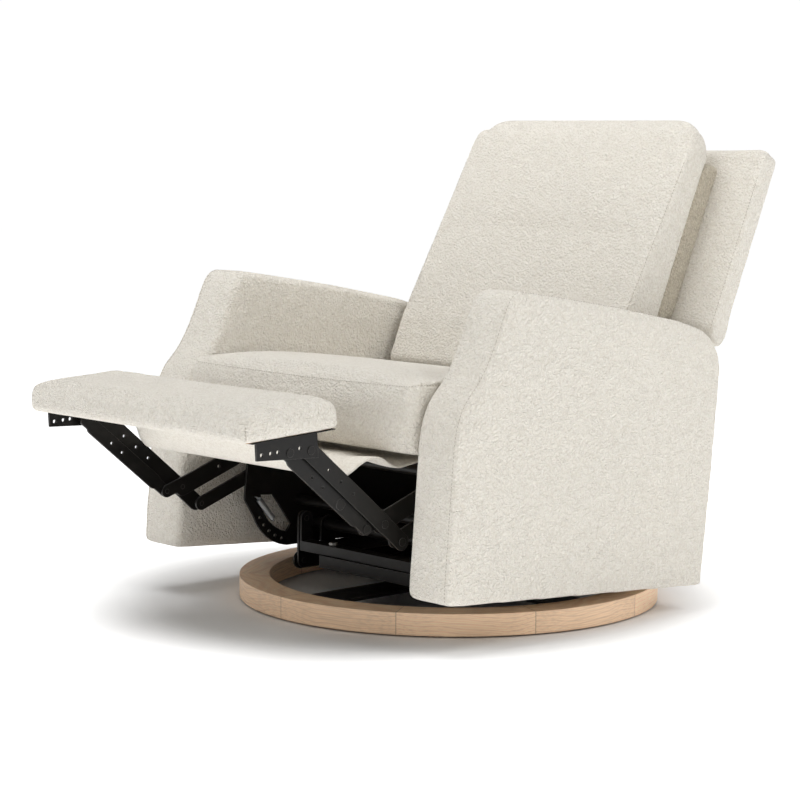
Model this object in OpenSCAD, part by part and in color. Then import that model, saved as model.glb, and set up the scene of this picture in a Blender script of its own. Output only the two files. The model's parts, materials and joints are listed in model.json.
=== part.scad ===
// Reclining swivel glider chair. Millimetres, +Z up, front towards -Y.
// The origin is the centre of the wooden ring, on the floor.
// Everything above the glide links leans back with the seat, about an axis along X.

/* [Overall] */
// Overall width across the arms
chair_w = 800; // [790:1:808]
// Thickness of one arm
arm_w = 101.5; // [100:0.5:102]
// Backward lean of the seat on its glider, in degrees
lean_deg = 4; // [3.9:0.1:4.1]

/* [Ring base] */
// Outer radius of the wooden ring
ring_r = 376; // [372:1:378]
// Radial width of the ring
ring_w = 54; // [50:1:56]
// Height of the ring's top above the floor
ring_h = 40.6; // [40:0.1:40.8]
// Width of the flat steel cross bars
cross_w = 76; // [60:1:80]
// Thickness of the cross bars
cross_t = 6; // [5:0.5:6]
// Number of floor pads under the ring
pad_count = 8; // [6:1:12]

/* [Swivel bearing] */
// Radius of the round swivel plates
swivel_r = 105; // [95:1:115]
// Number of balls in the bearing
ball_count = 20; // [12:1:24]
// Radius of one ball
ball_r = 6.9; // [6.8:0.1:6.9]

/* [Glider] */
// Length of the hanging links, pivot to pivot
link_len = 78; // [74:1:79]
// Distance of the link pivots in front of and behind the centre
link_y = 175; // [170:1:180]
// Height of the lower link pivots
link_low_z = 56; // [55:0.5:58]

/* [Footrest linkage] */
// Thickness of the linkage bars
bar_t = 4; // [3:0.5:4]
// Width of the narrow bars
bar_w = 20; // [16:1:20]
// Width of the long ottoman bar
long_bar_w = 30; // [26:1:30]
// Radius of the pivot rivets
rivet_r = 4; // [3:0.5:4]
// Radius of the drive tube that joins the two swing arms
drive_r = 9; // [7:0.5:9]

/* [Upholstery] */
// Width of the footrest pad
pad_w = 584; // [570:1:586]
// Width of the outer back
shell_w = 722; // [710:1:730]
// Width of the inner back cushion
back_cushion_w = 552; // [540:1:556]
// Clearance between the seat cushion and each arm
cushion_gap = 4; // [3:0.5:8]

/* [Hidden] */
$fn = 64;

half_w = chair_w / 2;
arm_in = half_w - arm_w;
ring_in = ring_r - ring_w;
lean_z = 300;
run_gap = 0.05;

// Heights of the base stack
pad_h = 3;
cross_z = 26;
lower_plate_z = cross_z + cross_t;
plate_t = 4;
upper_plate_z = 50;
tray_z = upper_plate_z + plate_t;
tray_half = [130, 195];
tray_wall_h = 22;
ball_z = (lower_plate_z + plate_t + upper_plate_z) / 2;
ball_pitch_r = 80;
bolt_r = 10;
cross_reach = ring_in + 14;

// Layers across the mechanism, each the inner face of a bar
x_upright = 188;
x_link = 196;
x_rail = 204;
x_side = 246;
x_lower_link = 252;
x_swing = 257.5;
x_short = 263;
x_long = 268.5;
x_bracket = 274;
x_hinge = 286.5;
link_top_z = link_low_z + link_len;
tube_y = [-110, 110];
tube_z = 115;
tube_r = 10;

// Linkage pivots [y, z] in the leaning frame, footrest out
piv_drive = [-232, 250];
piv_a = [-428.6, 170.6];
piv_b = [-395, 177.6];
crank = [40, -30];
piv_c = piv_b + crank;
piv_low = piv_drive + crank;
// Widths of the swing arm, the short bar's middle and the long bar's crank
swing_w = 32;
short_w = 26;
crank_w = 28;
piv_p1 = [-605, 296.4];
piv_p2 = [-563, 299.6];
cross_tube_c = [-136, 149.5];
spring_top = [-241, 157];
spring_low = [-197, 112];

// Footrest slab: back top corner, slope and size
foot_back = [-521, 381.3];
foot_slope = 7.33;
foot_len = 191.5;
foot_t = 47;
board_t = 12;
board_inset = 12;

// Seat and back
seat_z = 288;
seat_front = -371;
seat_back = 88;
seam_z = 402;
frame_t = 18;
side_top = seat_z - frame_t;
recline_c = [222, 462];
sheet_t = 2;
rail_y = [-262, 62, 174];
rail_d = 30;
apron_hinge = [-284, 281];
apron_fold = [-455, 246];
apron_end = [-575, 324];
apron_w = 500;

// Places a leaning part: its axes are the seat's own
module lean() {
    translate([0, 0, lean_z]) rotate([-lean_deg, 0, 0]) translate([0, 0, -lean_z]) children();
}

// Extrudes a [y, z] outline along X from x0 for t
module along_x(x0, t) {
    translate([x0, 0, 0]) rotate([90, 0, 90]) linear_extrude(t) children();
}

// The same on one side of the chair: side is 1 for left (+X) and -1 for right
module on_side(side, x0, t) {
    if (side > 0) {
        along_x(x0, t) children();
    } else {
        along_x(-x0 - t, t) children();
    }
}

// A flat bar with round ends between two [y, z] points
module bar2d(p, q, w) {
    d = q - p;
    len = norm(d);
    translate(p) rotate(atan2(d[1], d[0])) {
        circle(w / 2);
        translate([0, -w / 2]) square([len, w]);
        translate([len, 0]) circle(w / 2);
    }
}

// A disc at [y, z]: a pin's section, or a hole where it is taken away
module disc2d(p, r) {
    translate(p) circle(r);
}

// A round pin along X at [y, z], from x0 to x1, with a flat head at x1
module rivet(side, p, x0, x1, r) {
    head_r = r + 3;
    head_t = 1.2;
    on_side(side, x0, x1 - x0) disc2d(p, r);
    on_side(side, x1, head_t) disc2d(p, head_r);
}

// Points of an arc, of a cubic curve, and of a place measured along and above the footrest's slope
function arc(c, r, a0, a1, n) = [
    for (i = [0:n]) let (a = a0 + (a1 - a0) * i / n) c + r * [cos(a), sin(a)]
];
function bez(a, b, c, d, n) = [
    for (i = [0:n]) let (t = i / n, s = 1 - t)
        s * s * s * a + 3 * s * s * t * b + 3 * s * t * t * c + t * t * t * d
];
function flat_along(p, slope, along, up) =
    p + along * [-cos(slope), -sin(slope)] + up * [-sin(slope), cos(slope)];

// ---------------------------------------------------------------- base

module wood_ring() {
    color("burlywood") difference() {
        translate([0, 0, pad_h]) cylinder(r = ring_r, h = ring_h - pad_h, $fn = 128);
        translate([0, 0, -1]) cylinder(r = ring_in, h = ring_h + 2, $fn = 128);
        translate([0, 0, cross_z]) cross_bars(cross_reach, cross_w);
    }
}

module cross_bars(reach, w) {
    translate([-w / 2, -reach, 0]) cube([w, 2 * reach, cross_t]);
    translate([-reach, -w / 2, 0]) cube([2 * reach, w, cross_t]);
}

module floor_pads() {
    color("gray") for (i = [0:pad_count - 1]) rotate((i + 0.5) * 360 / pad_count)
        translate([ring_r - ring_w / 2, 0, 0]) cylinder(r = 13, h = pad_h);
}

module base_cross() {
    color("black") difference() {
        translate([0, 0, cross_z]) cross_bars(cross_reach, cross_w);
        translate([0, 0, cross_z - 1]) cylinder(r = bolt_r, h = cross_t + 2);
    }
}

module base_screws() {
    head_r = 7;
    head_t = 3;
    color("dimgray") for (i = [0:3], s = [-1, 1]) rotate(90 * i)
        translate([ring_in - 14, s * 22, cross_z + cross_t]) cylinder(r = head_r, h = head_t);
}

module swivel_lower_plate() {
    color("black") difference() {
        translate([0, 0, lower_plate_z]) cylinder(r = swivel_r, h = plate_t);
        translate([0, 0, lower_plate_z - 1]) cylinder(r = bolt_r, h = plate_t + 2);
    }
}

module bearing_balls() {
    color("silver") for (i = [0:ball_count - 1]) rotate(i * 360 / ball_count)
        translate([ball_pitch_r, 0, ball_z]) sphere(r = ball_r, $fn = 24);
}

module ball_cage() {
    cage_t = 3;
    pocket_r = ball_r + 0.2;
    color("ivory") difference() {
        translate([0, 0, ball_z - cage_t / 2]) cylinder(r = ball_pitch_r + 11, h = cage_t);
        translate([0, 0, ball_z - cage_t]) cylinder(r = ball_pitch_r - 11, h = 2 * cage_t);
        for (i = [0:ball_count - 1]) rotate(i * 360 / ball_count)
            translate([ball_pitch_r, 0, ball_z - cage_t]) cylinder(r = pocket_r, h = 2 * cage_t);
    }
}

module centre_bolt() {
    head_z = tray_z + plate_t + 0.2;
    color("silver") {
        translate([0, 0, cross_z - 10]) cylinder(r = bolt_r, h = head_z - cross_z + 10);
        translate([0, 0, head_z]) cylinder(r = 18, h = 8);
        translate([0, 0, cross_z - 10]) cylinder(r = 17, h = 10, $fn = 6);
    }
}

// ---------------------------------------------------------------- swivel carriage

module swivel_upper_plate() {
    color("black") difference() {
        translate([0, 0, upper_plate_z]) cylinder(r = swivel_r, h = plate_t);
        translate([0, 0, upper_plate_z - 1]) cylinder(r = bolt_r + run_gap, h = plate_t + 2);
    }
}

module carriage_tray() {
    x = tray_half[0];
    y = tray_half[1];
    color("black") difference() {
        translate([-x, -y, tray_z]) cube([2 * x, 2 * y, tray_wall_h]);
        translate([-x + 3, -y + 3, tray_z + plate_t]) cube([2 * x - 6, 2 * y - 6, tray_wall_h]);
        translate([0, 0, tray_z - 1]) cylinder(r = bolt_r + run_gap, h = plate_t + 2);
    }
}

// Cross arm bolted on the tray, with an upright at each end that holds the top link pivots
module carriage_arm(end) {
    arm_z = tray_z + tray_wall_h;
    arm_depth = 26;
    arm_h = 18;
    y = end * link_y;
    color("black") difference() {
        union() {
            translate([-x_upright - 4, y - arm_depth / 2, arm_z])
                cube([2 * x_upright + 8, arm_depth, arm_h]);
            for (side = [-1, 1]) on_side(side, x_upright, 4)
                bar2d([y, arm_z + 12], [y, link_top_z], arm_depth);
        }
        for (side = [-1, 1]) on_side(side, x_upright - 1, 6) disc2d([y, link_top_z], 5);
    }
}

module carriage_arm_front() carriage_arm(-1);

module carriage_arm_rear() carriage_arm(1);

module carriage_bolts() {
    head_z = tray_z + tray_wall_h + 18;
    color("silver") for (sx = [-1, 1], sy = [-1, 1])
        translate([sx * (tray_half[0] - 15), sy * link_y, head_z]) cylinder(r = 8, h = 5, $fn = 6);
}

module link_top_pins() {
    color("silver") for (side = [-1, 1], y = [-link_y, link_y])
        rivet(side, [y, link_top_z], x_upright, x_link + 4.5, 5);
}

module glide_links(y) {
    color("black") for (side = [-1, 1]) on_side(side, x_link, 4) difference() {
        bar2d([y, link_low_z], [y, link_top_z], 26);
        disc2d([y, link_low_z], 5 + run_gap);
        disc2d([y, link_top_z], 5 + run_gap);
    }
}

module glide_links_front() glide_links(-link_y);

module glide_links_rear() glide_links(link_y);

// ---------------------------------------------------------------- glider platform

module link_bottom_pins() {
    color("silver") for (side = [-1, 1], y = [-link_y, link_y])
        rivet(side, [y, link_low_z], x_link - 1, x_rail + 4, 5);
}

// Rail between the two tubes, with a stiffening rib along its top
module glide_rail(side) {
    color("black") on_side(side, x_rail, 4) difference() {
        union() {
            bar2d([-link_y, link_low_z], [link_y, link_low_z], 32);
            bar2d([-90, link_low_z + 14], [60, link_low_z + 14], 28);
            for (y = tube_y) bar2d([y, link_low_z], [y, tube_z], 34);
        }
        for (y = [-link_y, link_y]) disc2d([y, link_low_z], 5);
        for (y = tube_y) disc2d([y, tube_z], tube_r);
    }
}

module glide_rail_left() glide_rail(1);

module glide_rail_right() glide_rail(-1);

module platform_tubes() {
    color("black") for (y = tube_y) translate([-x_side, y, tube_z]) rotate([0, 90, 0])
        cylinder(r = tube_r, h = 2 * x_side);
}

// Side plate of the mechanism, with a top flange that carries the seat frame
module side_plate(side) {
    outline = concat(
        [[-258, side_top - 1], [-263, 152]],
        arc([-150, 165], 100, 205, 265, 8),
        [[-120, 68], [178, 84], [196, 120], [196, side_top - 1]]
    );
    front_window = concat(
        arc([-150, 168], 78, 200, 262, 6),
        [[-152, 104], [-174, 132], [-198, 160], [-226, 160]]
    );
    flange_x = (side > 0) ? x_side - 24 : -x_side - bar_t;
    color("black") lean() {
        on_side(side, x_side, bar_t) difference() {
            polygon(outline);
            polygon(front_window);
            for (k = [0:4]) disc2d([-150, 165] + 89 * [cos(212 + 11 * k), sin(212 + 11 * k)], 3);
            disc2d(piv_drive, drive_r + run_gap);
            disc2d(piv_low, rivet_r);
        }
        translate([flange_x, -258, side_top - 3]) cube([24 + bar_t, 454, 3]);
    }
}

module side_plate_left() side_plate(1);

module side_plate_right() side_plate(-1);

module mechanism_cross_tube() {
    color("black") lean() translate([-x_side, cross_tube_c[0], cross_tube_c[1]]) rotate([0, 90, 0])
        cylinder(r = drive_r, h = 2 * x_side);
}

// Two coil springs, each as a thick sleeve on its thin rod
module return_springs() {
    d = spring_low - spring_top;
    len = norm(d);
    coil_len = len - 12;
    color("slategray") lean() for (side = [-1, 1])
        translate([side * (x_side - 8), spring_top[0], spring_top[1]])
            rotate([atan2(d[1], d[0]), 0, 0]) rotate([-90, 0, 0]) {
                cylinder(r = 2, h = len);
                translate([0, 0, 6]) cylinder(r = 6, h = coil_len);
                for (k = [0, len]) translate([0, 0, k]) rotate([0, side * 90, 0]) cylinder(r = 3, h = 8);
            }
}

module base_rivets() {
    color("silver") lean() for (side = [-1, 1])
        rivet(side, piv_low, x_side, x_lower_link + bar_t + 0.1, rivet_r);
}

// ---------------------------------------------------------------- seat

module seat_frame() {
    color("tan") lean() {
        for (y = rail_y) translate([-arm_in, y, side_top]) cube([2 * arm_in, rail_d, frame_t]);
        for (s = [-1, 1], i = [0:1]) translate([s * (x_side - 12) - 12, rail_y[i] + rail_d, side_top])
            cube([24, rail_y[i + 1] - rail_y[i] - rail_d, frame_t]);
    }
}

// Zigzag seat springs between the front and middle rails
module seat_springs() {
    wire_r = 1.8;
    y0 = rail_y[0] + rail_d;
    span = rail_y[1] - y0;
    runs = 9;
    run_w = 40;
    z = seat_z - 7;
    pitch = span / runs;
    color("slategray") lean() for (x = [-176, -88, 0, 88, 176]) {
        for (i = [0:runs - 1]) translate([x - run_w / 2, y0 + (i + 0.5) * pitch, z]) rotate([0, 90, 0])
            cylinder(r = wire_r, h = run_w, $fn = 16);
        for (i = [0:runs - 2]) let (s = (i % 2 == 0) ? 1 : -1)
            translate([x + s * run_w / 2, y0 + (i + 0.5) * pitch, z]) rotate([-90, 0, 0])
                cylinder(r = wire_r, h = pitch, $fn = 16);
        translate([x - run_w / 2, y0, z]) rotate([-90, 0, 0]) cylinder(r = wire_r, h = pitch / 2, $fn = 16);
        translate([x + run_w / 2, y0 + span - pitch / 2, z]) rotate([-90, 0, 0])
            cylinder(r = wire_r, h = pitch / 2, $fn = 16);
    }
}

module seat_cushion() {
    front_r = 22;
    outline = concat(
        [[seat_back, seat_z], [seat_front + 10, seat_z]],
        [[seat_front, seat_z + 10]],
        arc([seat_front + front_r, seam_z + 4 - front_r], front_r, 180, 110, 6),
        bez([-300, 418], [-220, 432], [-60, 430], [seat_back, 414], 10)
    );
    color("linen") lean() along_x(-arm_in + cushion_gap, 2 * (arm_in - cushion_gap)) polygon(outline);
}

// ---------------------------------------------------------------- arms

// Side outline of an arm: upright front, S-curved shoulder, sloping top, rounded rear corner
function arm_outline() = concat(
    [[247, 62], [-363, 60], [-371, 68]],
    bez([-367, 310], [-365, 350], [-355, 376], [-339, 394], 6),
    bez([-326, 409], [-301, 441], [-287, 484], [-276, 515], 6),
    bez([-271, 529], [-262, 551], [-252, 563], [-238, 561], 5),
    [[-146, 554], [0, 541], [148, 523]],
    bez([205, 510], [238, 497], [263, 470], [263, 434], 6),
    [[257, 246]]
);

frame_box = [[-318, 62], [232, 370]];
frame_t_arm = 45;
bezel_c = [-150, 476];
bezel_size = [84, 34];

module arm(side) {
    frame_in = (arm_w - frame_t_arm) / 2;
    color("linen") lean() difference() {
        on_side(side, arm_in, arm_w) polygon(arm_outline());
        on_side(side, arm_in + frame_in, frame_t_arm) arm_frame2d();
        if (side > 0) on_side(side, arm_in - 1, 15) translate(bezel_c) square(bezel_size, center = true);
    }
}

module arm_left() arm(1);

module arm_right() arm(-1);

// Wooden arm frame: two posts with a top and a bottom rail, open at the padding's underside
module arm_frame2d() {
    post = 40;
    size = frame_box[1] - frame_box[0];
    translate(frame_box[0]) difference() {
        square(size);
        translate([post, post]) square(size - 2 * [post, post]);
    }
}

module arm_frame(side) {
    frame_in = (arm_w - frame_t_arm) / 2;
    color("tan") lean() on_side(side, arm_in + frame_in, frame_t_arm) arm_frame2d();
}

module arm_frame_left() arm_frame(1);

module arm_frame_right() arm_frame(-1);

module rear_panel() {
    outline = [
        [241, 62], [252, 62], [258, 246], [262, 420],
        [250, 436], [232, 432], [224, 300], [238, 240]
    ];
    color("linen") lean() along_x(-arm_in, 2 * arm_in) polygon(outline);
}

module frame_bolts() {
    color("silver") lean() for (s = [-1, 1], y = rail_y)
        translate([s * (arm_in - 15), y + rail_d / 2, side_top - 4]) cylinder(r = 7, h = 4, $fn = 6);
}

module recline_pins() {
    color("silver") lean() for (side = [-1, 1])
        on_side(side, arm_in - 15, 15) disc2d(recline_c, 6);
}

module release_bezel() {
    inner = bezel_size - [10, 10];
    color("dimgray") lean() {
        on_side(1, arm_in, 14) difference() {
            translate(bezel_c) square(bezel_size, center = true);
            translate(bezel_c) square(inner, center = true);
        }
        on_side(1, arm_in + 11, 3) translate(bezel_c) square(inner, center = true);
    }
}

// Lift lever of the footrest latch, hinged along its top edge inside the bezel
module release_lever() {
    size = [bezel_size[0] - 14, bezel_size[1] - 15];
    color("silver") lean() {
        on_side(1, arm_in + 2, 3) translate(bezel_c) square(size, center = true);
        translate([arm_in + 3.5, bezel_c[0] - size[0] / 2, bezel_c[1] + size[1] / 2])
            rotate([-90, 0, 0]) cylinder(r = 1.5, h = size[0]);
    }
}

// ---------------------------------------------------------------- back

// Side outline of the outer back shell
function shell_outline() = concat(
    [shell_foot, shell_top],
    bez([389, 819], [396, 838], [430, 842], [433, 812], 6),
    [[398, 716], [349, 582]],
    bez([330, 528], [322, 470], [296, 458], [277, 494], 6)
);

// Front face of the shell, from its lower corner
shell_foot = [274, 508];
shell_top = [386, 806];
// Padded block between shell and cushion, narrower than both
block_half = 268;
block_foot = [235, 513];
block_top = [333, 782];
block_dir = (block_top - block_foot) / norm(block_top - block_foot);
block_in = [block_dir[1], -block_dir[0]];
hinge_foot = [298, 515];

function block_outline() = concat(
    [block_foot],
    bez(block_top, [338, 796], [348, 806], [370, 802], 4),
    [[392, 800], [300, 520]]
);

// Pocket in the block's front face for the board behind the cushion
pocket_start = 20;
pocket_len = 240;
pocket_depth = 15;
board_half = 260;

function pocket_outline(proud) = [
    block_foot + pocket_start * block_dir - proud * block_in,
    block_foot + (pocket_start + pocket_len) * block_dir - proud * block_in,
    block_foot + (pocket_start + pocket_len) * block_dir + pocket_depth * block_in,
    block_foot + pocket_start * block_dir + pocket_depth * block_in
];

module back_shell() {
    color("linen") lean() difference() {
        union() {
            along_x(-shell_w / 2, shell_w) polygon(shell_outline());
            along_x(-block_half, 2 * block_half) polygon(block_outline());
        }
        along_x(-board_half, 2 * board_half) polygon(pocket_outline(5));
        for (side = [-1, 1]) on_side(side, x_hinge, bar_t) recline_bar2d();
    }
}

module back_board() {
    color("tan") lean() along_x(-board_half, 2 * board_half) polygon(pocket_outline(0));
}

// Inner back cushion: slanted front, box sides, domed top, foot tucked behind the seat
function cushion_outline() = concat(
    [[140, 360], [110, 388], [98, 412]],
    bez([128, 490], [170, 580], [224, 684], [280, 806], 8),
    bez([292, 836], [303, 886], [345, 888], [343, 850], 6),
    [[334, 806], [228, 514], [212, 440], [190, 372]]
);

module back_cushion() {
    color("linen") lean() along_x(-back_cushion_w / 2, back_cushion_w) polygon(cushion_outline());
}

// Hinge plate between the shell's board and the recline pin
module recline_bar2d() {
    bar2d(recline_c, hinge_foot, 26);
}

module recline_bracket(side) {
    color("black") lean() on_side(side, x_hinge, bar_t) difference() {
        recline_bar2d();
        disc2d(recline_c, 6 + run_gap);
    }
}

module recline_bracket_left() recline_bracket(1);

module recline_bracket_right() recline_bracket(-1);

// ---------------------------------------------------------------- footrest linkage

module drive_tube() {
    color("black") lean() translate([-x_swing - bar_t, piv_drive[0], piv_drive[1]]) rotate([0, 90, 0])
        cylinder(r = drive_r, h = 2 * (x_swing + bar_t));
}

module swing_arm(side) {
    color("black") lean() on_side(side, x_swing, bar_t) difference() {
        union() {
            bar2d(piv_drive, piv_b, swing_w);
            bar2d(piv_drive, piv_a, bar_w + 2);
        }
        disc2d(piv_drive, drive_r);
        disc2d(piv_a, rivet_r);
        disc2d(piv_b, rivet_r);
        for (k = [0.2, 0.36, 0.52]) disc2d(piv_drive + k * (piv_b - piv_drive), 3);
    }
}

module swing_arm_left() swing_arm(1);

module swing_arm_right() swing_arm(-1);

module swing_arm_rivets() {
    color("silver") lean() for (side = [-1, 1]) {
        rivet(side, piv_a, x_swing, x_short + bar_t + 0.1, rivet_r);
        rivet(side, piv_b, x_swing, x_long + bar_t + 0.1, rivet_r);
    }
}

// Lower link: closes the parallelogram of the swing arm and the long bar's crank
module lower_link(side) {
    color("black") lean() on_side(side, x_lower_link, bar_t) difference() {
        bar2d(piv_low, piv_c, bar_w + 4);
        disc2d(piv_low, rivet_r + run_gap);
        disc2d(piv_c, rivet_r + run_gap);
    }
}

module lower_link_left() lower_link(1);

module lower_link_right() lower_link(-1);

// Short closing bar, with a raised stop stud
module short_bar(side) {
    d = piv_p1 - piv_a;
    color("black") lean() {
        on_side(side, x_short, bar_t) short_bar2d(d);
        on_side(side, x_short + bar_t, 1) disc2d(piv_a + 0.33 * d, 9);
    }
}

module short_bar2d(d) {
    difference() {
        union() {
            bar2d(piv_a, piv_p1, bar_w);
            bar2d(piv_a + 0.14 * d, piv_a + 0.9 * d, short_w);
        }
        disc2d(piv_a, rivet_r + run_gap);
        for (k = [0.55, 0.68]) disc2d(piv_a + k * d, 2.6);
    }
}

module short_bar_left() short_bar(1);

module short_bar_right() short_bar(-1);

module long_bar(side) {
    d = piv_p2 - piv_b;
    color("black") lean() on_side(side, x_long, bar_t) difference() {
        union() {
            bar2d(piv_b, piv_p2, long_bar_w);
            bar2d(piv_b, piv_c, crank_w);
        }
        disc2d(piv_b, rivet_r + run_gap);
        disc2d(piv_c, rivet_r);
        disc2d(piv_p2, rivet_r);
        for (k = [0.42, 0.58, 0.74]) disc2d(piv_b + k * d, 2.6);
    }
}

module long_bar_left() long_bar(1);

module long_bar_right() long_bar(-1);

module long_bar_rivets() {
    color("silver") lean() for (side = [-1, 1]) {
        rivet(side, piv_c, x_lower_link, x_long + bar_t, rivet_r);
        rivet(side, piv_p2, x_long, x_bracket + bar_t + 0.1, rivet_r);
    }
}

// ---------------------------------------------------------------- footrest

// Angle bracket under the pad: a drilled upright flange and a flat one screwed to the board
module footrest_bracket(side) {
    near = 38;
    far = 160;
    under = -foot_t;
    corners = [
        flat_along(foot_back, foot_slope, near, under),
        flat_along(foot_back, foot_slope, far, under),
        flat_along(foot_back, foot_slope, far, under - 30),
        flat_along(foot_back, foot_slope, near, under - 42)
    ];
    flange = [
        flat_along(foot_back, foot_slope, near, under),
        flat_along(foot_back, foot_slope, far, under),
        flat_along(foot_back, foot_slope, far, under - 3),
        flat_along(foot_back, foot_slope, near, under - 3)
    ];
    color("black") lean() {
        on_side(side, x_bracket, bar_t) difference() {
            polygon(corners);
            disc2d(piv_p1, rivet_r);
            disc2d(piv_p2, rivet_r + run_gap);
            for (k = [74, 118, 132, 150]) disc2d(flat_along(foot_back, foot_slope, k, under - 22), 3.2);
        }
        on_side(side, x_bracket - 22, 22) polygon(flange);
    }
}

module footrest_bracket_left() footrest_bracket(1);

module footrest_bracket_right() footrest_bracket(-1);

module bracket_rivets() {
    color("silver") lean() for (side = [-1, 1])
        rivet(side, piv_p1, x_short + bar_t + 0.5, x_bracket + bar_t, rivet_r);
}

// Board let into the underside of the pad
function board_outline(proud) = [
    flat_along(foot_back, foot_slope, board_inset, board_t - foot_t),
    flat_along(foot_back, foot_slope, foot_len - board_inset, board_t - foot_t),
    flat_along(foot_back, foot_slope, foot_len - board_inset, -foot_t - proud),
    flat_along(foot_back, foot_slope, board_inset, -foot_t - proud)
];

module footrest_board() {
    color("tan") lean() along_x(board_inset - pad_w / 2, pad_w - 2 * board_inset) polygon(board_outline(0));
}

module footrest_pad() {
    top_r = 18;
    low_r = 10;
    color("linen") lean() difference() {
        along_x(-pad_w / 2, pad_w) polygon(concat(
            pad_corner(foot_len - top_r, -top_r, top_r, 90),
            pad_corner(foot_len - low_r, low_r - foot_t, low_r, 180),
            pad_corner(low_r, low_r - foot_t, low_r, 270),
            pad_corner(top_r, -top_r, top_r, 0)
        ));
        along_x(board_inset - pad_w / 2, pad_w - 2 * board_inset) polygon(board_outline(5));
    }
}

function pad_corner(along, up, r, a) =
    arc(flat_along(foot_back, foot_slope, along, up), r, foot_slope + a, foot_slope + a + 90, 6);

// Fabric apron in two panels that fold at apron_fold
module apron_rear() {
    color("linen") lean() along_x(-apron_w / 2, apron_w) bar2d(apron_hinge, apron_fold, sheet_t);
}

module apron_front() {
    d = apron_end - apron_fold;
    color("linen") lean() along_x(-apron_w / 2, apron_w)
        bar2d(apron_fold + 2.5 * d / norm(d), apron_end, sheet_t);
}

wood_ring();
floor_pads();
base_cross();
base_screws();
swivel_lower_plate();
bearing_balls();
ball_cage();
centre_bolt();
swivel_upper_plate();
carriage_tray();
carriage_arm_front();
carriage_arm_rear();
carriage_bolts();
link_top_pins();
glide_links_front();
glide_links_rear();
link_bottom_pins();
glide_rail_left();
glide_rail_right();
platform_tubes();
side_plate_left();
side_plate_right();
mechanism_cross_tube();
return_springs();
base_rivets();
seat_frame();
seat_springs();
seat_cushion();
arm_left();
arm_right();
arm_frame_left();
arm_frame_right();
rear_panel();
frame_bolts();
recline_pins();
release_bezel();
release_lever();
back_shell();
back_board();
back_cushion();
recline_bracket_left();
recline_bracket_right();
drive_tube();
swing_arm_left();
swing_arm_right();
swing_arm_rivets();
lower_link_left();
lower_link_right();
short_bar_left();
short_bar_right();
long_bar_left();
long_bar_right();
long_bar_rivets();
footrest_bracket_left();
footrest_bracket_right();
bracket_rivets();
footrest_board();
footrest_pad();
apron_rear();
apron_front();
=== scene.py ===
"""Looks of a reclining swivel glider chair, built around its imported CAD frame.

Outlines are [y, z] points in millimetres in the seat's own leaning frame, as in the
CAD. LEANED turns such points into the row frame in metres, where every mesh lives.
"""

import json
import math

import bmesh
import bpy
import numpy as np
from mathutils import Matrix, Vector
from mathutils.bvhtree import BVHTree
from mathutils.kdtree import KDTree


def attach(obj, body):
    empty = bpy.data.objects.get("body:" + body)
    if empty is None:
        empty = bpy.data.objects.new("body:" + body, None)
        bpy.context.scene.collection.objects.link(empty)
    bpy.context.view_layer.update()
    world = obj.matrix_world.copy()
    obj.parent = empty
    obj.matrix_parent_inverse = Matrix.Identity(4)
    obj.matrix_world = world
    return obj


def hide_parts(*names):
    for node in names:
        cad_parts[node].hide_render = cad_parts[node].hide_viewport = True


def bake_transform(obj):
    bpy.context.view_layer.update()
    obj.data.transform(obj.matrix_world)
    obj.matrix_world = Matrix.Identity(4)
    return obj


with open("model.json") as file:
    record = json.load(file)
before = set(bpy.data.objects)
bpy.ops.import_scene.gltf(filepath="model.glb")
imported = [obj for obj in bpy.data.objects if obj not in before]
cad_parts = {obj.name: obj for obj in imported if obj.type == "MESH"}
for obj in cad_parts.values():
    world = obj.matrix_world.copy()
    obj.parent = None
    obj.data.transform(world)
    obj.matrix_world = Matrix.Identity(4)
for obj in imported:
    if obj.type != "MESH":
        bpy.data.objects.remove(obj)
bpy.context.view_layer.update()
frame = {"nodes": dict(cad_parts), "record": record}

# The seat's lean, as in the CAD
LEAN_DEG = 4.0
LEAN_Z = 0.300
MM = 0.001

# Widths across the chair, in millimetres
HALF_WIDTH = 399.0
ARM_IN = 298.5
SHELL_HALF = 360.0
BLOCK_HALF = 267.0
SEAT_HALF = 293.0
BACK_CUSHION_HALF = 279.0
PAD_HALF = 291.0
APRON_HALF = 242.0
FOLD_START = 110.0
FOLD_RUN = 120.0
DECK_HALF = 240.0
SPRING_X = 238.0

# Recess of the release lever's bezel in the left arm's inner face: middle, half size, depth
LEVER_MIDDLE = (-150.0, 476.0)
LEVER_HALF = (40.0, 15.0)
LEVER_DEPTH = 15.0

# Seat cushion's front face and the seam round its top panel
SEAT_FRONT = -371.0
SEAM_Z = 402.0

# Footrest slab: back top corner, slope, length and thickness
FOOT_BACK = np.array([-521.0, 381.3])
FOOT_SLOPE = math.radians(7.33)
FOOT_LEN = 191.5
FOOT_THICK = 47.0

# Apron of cloth from the seat's front rail to the footrest, as [y, z] rows
APRON_HINGE = [(-284, 281), (-345, 281)]
APRON_REAR_MIDDLE = [
    (-265, 288),
    (-267, 272),
    (-290, 274),
    (-350, 276),
    (-400, 272),
    (-468, 250),
]
APRON_REAR_EDGE = [
    (-265, 288),
    (-267, 272),
    (-290, 276),
    (-315, 272),
    (-346, 264),
    (-372, 274),
    (-390, 283),
    (-413, 278),
    (-430, 270),
    (-450, 255),
    (-468, 250),
]
APRON_FRONT_MIDDLE = [(-468, 250), (-487, 255), (-511, 272), (-540, 300), (-556, 326)]
APRON_FRONT_EDGE = [(-468, 250), (-489, 253), (-507, 270), (-522, 300), (-530, 328)]

# Back shell's front face, from its lower corner up
SHELL_FOOT = np.array([274.0, 509.0])
SHELL_TOP = np.array([385.5, 805.0])

# Wood ring: glued segments, and the first joint's place in segments from the front
RING_SEGMENTS = 10
FIRST_JOINT = 33.0 * RING_SEGMENTS / 360

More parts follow.
